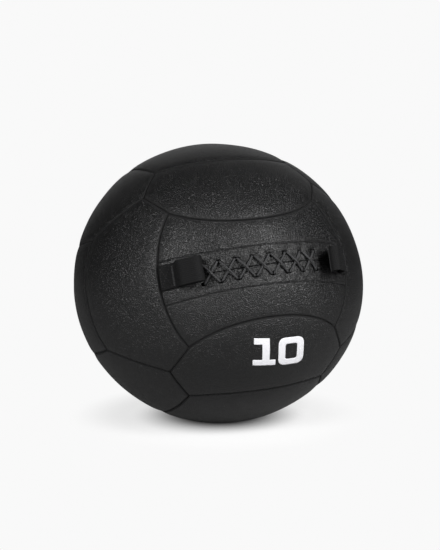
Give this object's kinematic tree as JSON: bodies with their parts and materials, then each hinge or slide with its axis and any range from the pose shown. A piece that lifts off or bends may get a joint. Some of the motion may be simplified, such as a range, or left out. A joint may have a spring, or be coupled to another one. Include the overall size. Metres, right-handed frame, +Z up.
{
  "type": "wall ball",
  "caption": "Soft stuffed exercise ball of sewn leather panels, with a laced filling slit and a webbing loop at each end of the slit.",
  "frame": {"origin": "middle of the flat patch that the resting ball stands on", "axes": "+Z up from the floor, the laced closure faces -Y, pitched up 13.5 degrees and rolled 4.7 degrees as the ball lies"},
  "size_m": [0.3494, 0.3499, 0.3334],
  "materials": {
    "cover_leather": "grained, soft sheen, charcoal black",
    "tongue_leather": "matt, charcoal black",
    "lace_cord": "round braided cord, black",
    "loop_webbing": "woven webbing, black",
    "bag_cloth": "plain woven cloth, natural",
    "fibre": "packed shredded fibre, grey",
    "weight_cloth": "heavy woven cloth, dark"
  },
  "bodies": {
    "ball": {"closure_flap_upper": "cover_leather", "closure_flap_lower": "cover_leather", "closure_tongue": "tongue_leather", "lace": "lace_cord", "panel_back": "cover_leather", "panel_top": "cover_leather", "panel_bottom": "cover_leather", "panel_left": "cover_leather", "panel_right": "cover_leather", "panel_top_front": "cover_leather", "panel_bottom_front": "cover_leather", "panel_left_front": "cover_leather", "panel_right_front": "cover_leather", "panel_top_back": "cover_leather", "panel_bottom_back": "cover_leather", "panel_left_back": "cover_leather", "panel_right_back": "cover_leather", "panel_top_left": "cover_leather", "panel_top_right": "cover_leather", "panel_bottom_left": "cover_leather", "panel_bottom_right": "cover_leather", "left_loop_anchor": "loop_webbing", "right_loop_anchor": "loop_webbing", "inner_bag": "bag_cloth", "filling_lower": "fibre", "filling_upper": "fibre", "weight_bag": "weight_cloth"},
    "left_loop": {"left_loop": "loop_webbing"},
    "right_loop": {"right_loop": "loop_webbing"}
  },
  "joints": [
    {"name": "left_loop_lift", "type": "hinge", "parent": "ball", "child": "left_loop", "pos_m": [-0.09574, -0.14523, 0.19527], "axis": [0.1096, -0.289, -0.951], "range_deg": [0, 75], "stiffness_Nm_per_rad": 0.01},
    {"name": "right_loop_lift", "type": "hinge", "parent": "ball", "child": "right_loop", "pos_m": [0.09553, -0.14339, 0.20296], "axis": [-0.0288, 0.2583, 0.9656], "range_deg": [-14, 60], "stiffness_Nm_per_rad": 0.01}
  ]
}
